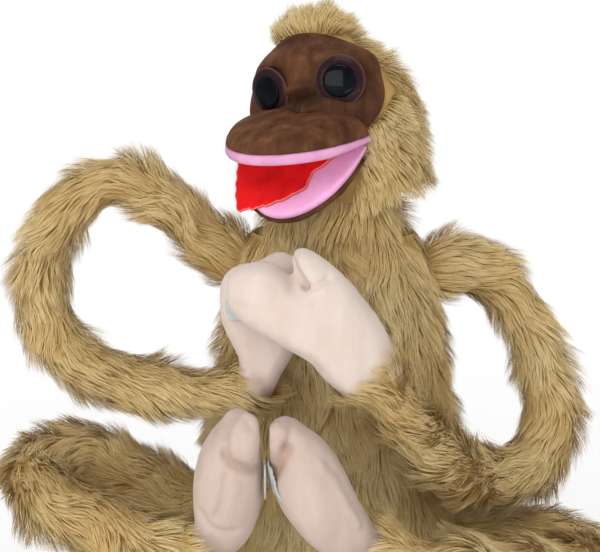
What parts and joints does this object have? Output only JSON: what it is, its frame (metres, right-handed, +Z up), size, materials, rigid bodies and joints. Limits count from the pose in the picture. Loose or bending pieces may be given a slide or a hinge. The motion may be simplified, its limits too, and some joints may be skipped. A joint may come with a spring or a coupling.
{
  "type": "plush monkey hand puppet",
  "caption": "Seated plush monkey hand puppet with a moving mouth, a lined sleeve for the hand, long floppy arms and legs, clasped mitten hands and soles held together.",
  "frame": {"origin": "centre of the seat, on the flat base panel at floor level", "axes": "+Z up, the puppet faces -Y, its own left side is towards +X"},
  "size_m": [0.5218, 0.2565, 0.4833],
  "materials": {
    "fur": "long-pile golden-tan faux fur, matt",
    "stuffing": "white polyester fibre filling",
    "lining": "plain woven cotton lining, matt",
    "facePlush": "short-pile brown velboa with a soft sheen",
    "pinkCloth": "pink felt-backed cloth, matt",
    "tongueFelt": "red felt, matt",
    "skinPlush": "short-pile pale pink-cream velboa",
    "board": "plain hardboard",
    "eyeRim": "translucent purplish-brown plastic, glossy",
    "eyePupil": "black plastic under a clear gloss",
    "washer": "white plastic",
    "hookTape": "pale blue-grey hook-and-loop tape"
  },
  "bodies": {
    "torso": {"body_base": "fur", "body_front": "fur", "body_back_right": "fur", "body_back_left": "fur", "body_stuffing": "stuffing", "hand_sleeve_lining": "lining"},
    "neck": {"neck_roll": "fur"},
    "head": {"head_hood": "fur", "face_panel": "facePlush", "head_stuffing_right": "stuffing", "head_stuffing_left": "stuffing", "upper_muzzle": "facePlush", "palate_board": "board", "palate_lining": "pinkCloth", "right_eye_rim": "eyeRim", "right_eye_pupil": "eyePupil", "right_eye_washer": "washer", "left_eye_rim": "eyeRim", "left_eye_pupil": "eyePupil", "left_eye_washer": "washer"},
    "jaw": {"jaw_lining": "pinkCloth", "jaw_board": "board", "jaw_pad": "facePlush", "tongue": "tongueFelt"},
    "right_upper_arm": {"right_upper_arm": "fur"},
    "right_middle_arm": {"right_middle_arm": "fur"},
    "right_forearm": {"right_forearm": "fur"},
    "right_hand": {"right_hand": "skinPlush", "right_palm_loop_patch": "hookTape"},
    "right_thigh": {"right_thigh": "fur"},
    "right_shin": {"right_shin": "fur"},
    "right_foot": {"right_foot": "skinPlush", "right_sole_loop_patch": "hookTape"},
    "left_upper_arm": {"left_upper_arm": "fur", "left_middle_arm": "fur"},
    "left_forearm": {"left_forearm": "fur"},
    "left_hand": {"left_hand": "skinPlush", "left_palm_hook_patch": "hookTape"},
    "left_thigh": {"left_thigh": "fur"},
    "left_shin": {"left_shin": "fur"},
    "left_foot": {"left_foot": "skinPlush", "left_sole_hook_patch": "hookTape"}
  },
  "joints": [
    {"name": "neck_turn", "type": "hinge", "parent": "torso", "child": "neck", "pos_m": [0.004, -0.002, 0.322], "axis": [0, 0, 1], "range_deg": [-30, 35]},
    {"name": "head_nod", "type": "hinge", "parent": "neck", "child": "head", "pos_m": [0.004, -0.002, 0.322], "axis": [0.809, -0.5878, 0], "range_deg": [-15, 12]},
    {"name": "jaw_open", "type": "hinge", "parent": "head", "child": "jaw", "pos_m": [-0.02391, -0.04232, 0.37647], "axis": [0.8549, -0.5182, 0.025], "range_deg": [-30, 3]},
    {"name": "right_shoulder", "type": "hinge", "parent": "torso", "child": "right_upper_arm", "pos_m": [-0.08658, 0, 0.30463], "axis": [0, 1, 0], "range_deg": [0, 30]},
    {"name": "right_upper_elbow", "type": "hinge", "parent": "right_upper_arm", "child": "right_middle_arm", "pos_m": [-0.23691, -0.01, 0.34565], "axis": [0, 1, 0], "range_deg": [0, 12]},
    {"name": "right_lower_elbow", "type": "hinge", "parent": "right_middle_arm", "child": "right_forearm", "pos_m": [-0.23836, -0.034, 0.17708], "axis": [0, 1, 0], "range_deg": [0, 20]},
    {"name": "right_wrist", "type": "hinge", "parent": "right_forearm", "child": "right_hand", "pos_m": [-0.08413, -0.095, 0.20714], "axis": [0, -1, 0], "range_deg": [0, 30]},
    {"name": "right_hip", "type": "hinge", "parent": "torso", "child": "right_thigh", "pos_m": [-0.13972, 0.01607, 0.03393], "axis": [-0.1258, -0.7315, -0.6702], "range_deg": [0, 20]},
    {"name": "right_knee", "type": "hinge", "parent": "right_thigh", "child": "right_shin", "pos_m": [-0.27958, -0.05265, 0.106], "axis": [0.025, 0.1569, -0.9873], "range_deg": [0, 35]},
    {"name": "right_ankle", "type": "hinge", "parent": "right_shin", "child": "right_foot", "pos_m": [-0.11976, -0.16918, 0.09498], "axis": [0.1118, -0.8086, -0.5776], "range_deg": [0, 25]},
    {"name": "left_shoulder", "type": "hinge", "parent": "torso", "child": "left_upper_arm", "pos_m": [0.10446, 0.027, 0.264], "axis": [-0.0831, 0.0014, 0.9965], "range_deg": [0, 35]},
    {"name": "left_elbow", "type": "hinge", "parent": "left_upper_arm", "child": "left_forearm", "pos_m": [0.16015, -0.07847, 0.10879], "axis": [-0.1715, 0.2536, 0.952], "range_deg": [0, 35]},
    {"name": "left_wrist", "type": "hinge", "parent": "left_forearm", "child": "left_hand", "pos_m": [0.03446, -0.14759, 0.19892], "axis": [0.7516, -0.0096, 0.6595], "range_deg": [0, 35]},
    {"name": "left_hip", "type": "hinge", "parent": "torso", "child": "left_thigh", "pos_m": [0.13643, 0.01991, 0.035], "axis": [0.017, -0.0045, 0.9998], "range_deg": [0, 20]},
    {"name": "left_knee", "type": "hinge", "parent": "left_thigh", "child": "left_shin", "pos_m": [0.23579, -0.1082, 0.038], "axis": [0.0694, 0.1456, 0.9869], "range_deg": [0, 35]},
    {"name": "left_ankle", "type": "hinge", "parent": "left_shin", "child": "left_foot", "pos_m": [0.0628, -0.17268, 0.0856], "axis": [0.1285, 0.7957, 0.5919], "range_deg": [0, 25]}
  ]
}
